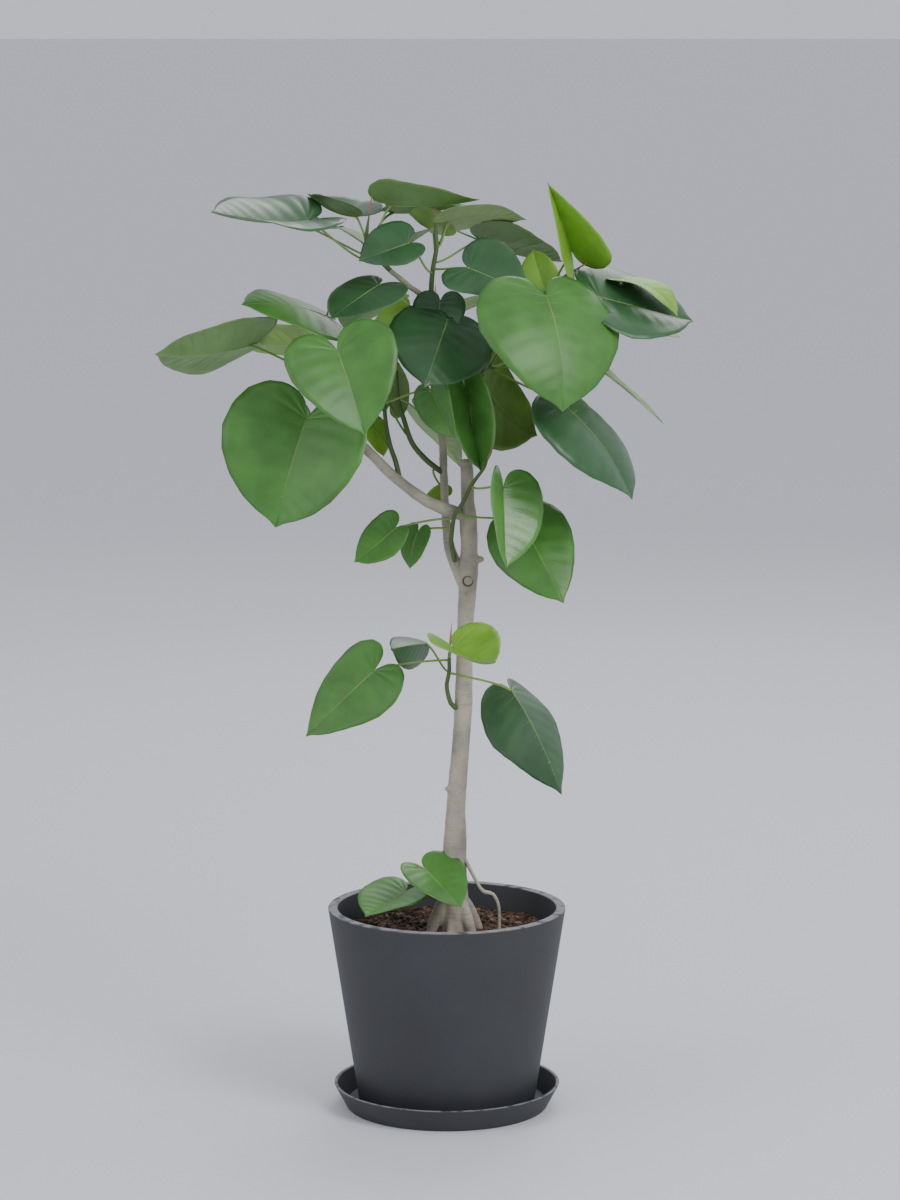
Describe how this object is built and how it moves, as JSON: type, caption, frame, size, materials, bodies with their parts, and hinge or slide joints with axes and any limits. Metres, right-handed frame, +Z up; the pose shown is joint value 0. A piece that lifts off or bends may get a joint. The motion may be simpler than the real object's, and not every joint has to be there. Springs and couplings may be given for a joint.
{
  "type": "potted ficus umbellata",
  "caption": "Young broadleaf fig tree with a forked grey trunk and large heart-shaped leaves, in a tapered round pot on a saucer.",
  "frame": {"origin": "centre of the saucer's flat underside", "axes": "+Z up the trunk, -Y towards the plant's front, +X to the right seen from the front"},
  "size_m": [0.6604, 0.386, 1.17],
  "materials": {
    "charcoal": "matt charcoal with a worn paler rim",
    "soil": "coarse brown bark mix, dull",
    "bark": "pale grey-beige bark, matt, with fine marks",
    "leaf": "fresh green, satin, with paler veins"
  },
  "bodies": {
    "root": {"saucer": "charcoal", "pot": "charcoal", "soil": "soil", "trunk": "bark", "leader": "bark", "left_bough": "bark", "right_bough": "bark", "upper_left_bough": "bark", "arching_root": "bark", "top_foliage": "leaf", "upper_left_foliage": "leaf", "front_foliage": "leaf", "back_foliage": "leaf", "right_foliage": "leaf", "left_foliage": "leaf", "inner_left_foliage": "leaf", "inner_foliage": "leaf", "fork_foliage": "leaf", "low_foliage": "leaf", "foot_foliage": "leaf"}
  },
  "joints": []
}
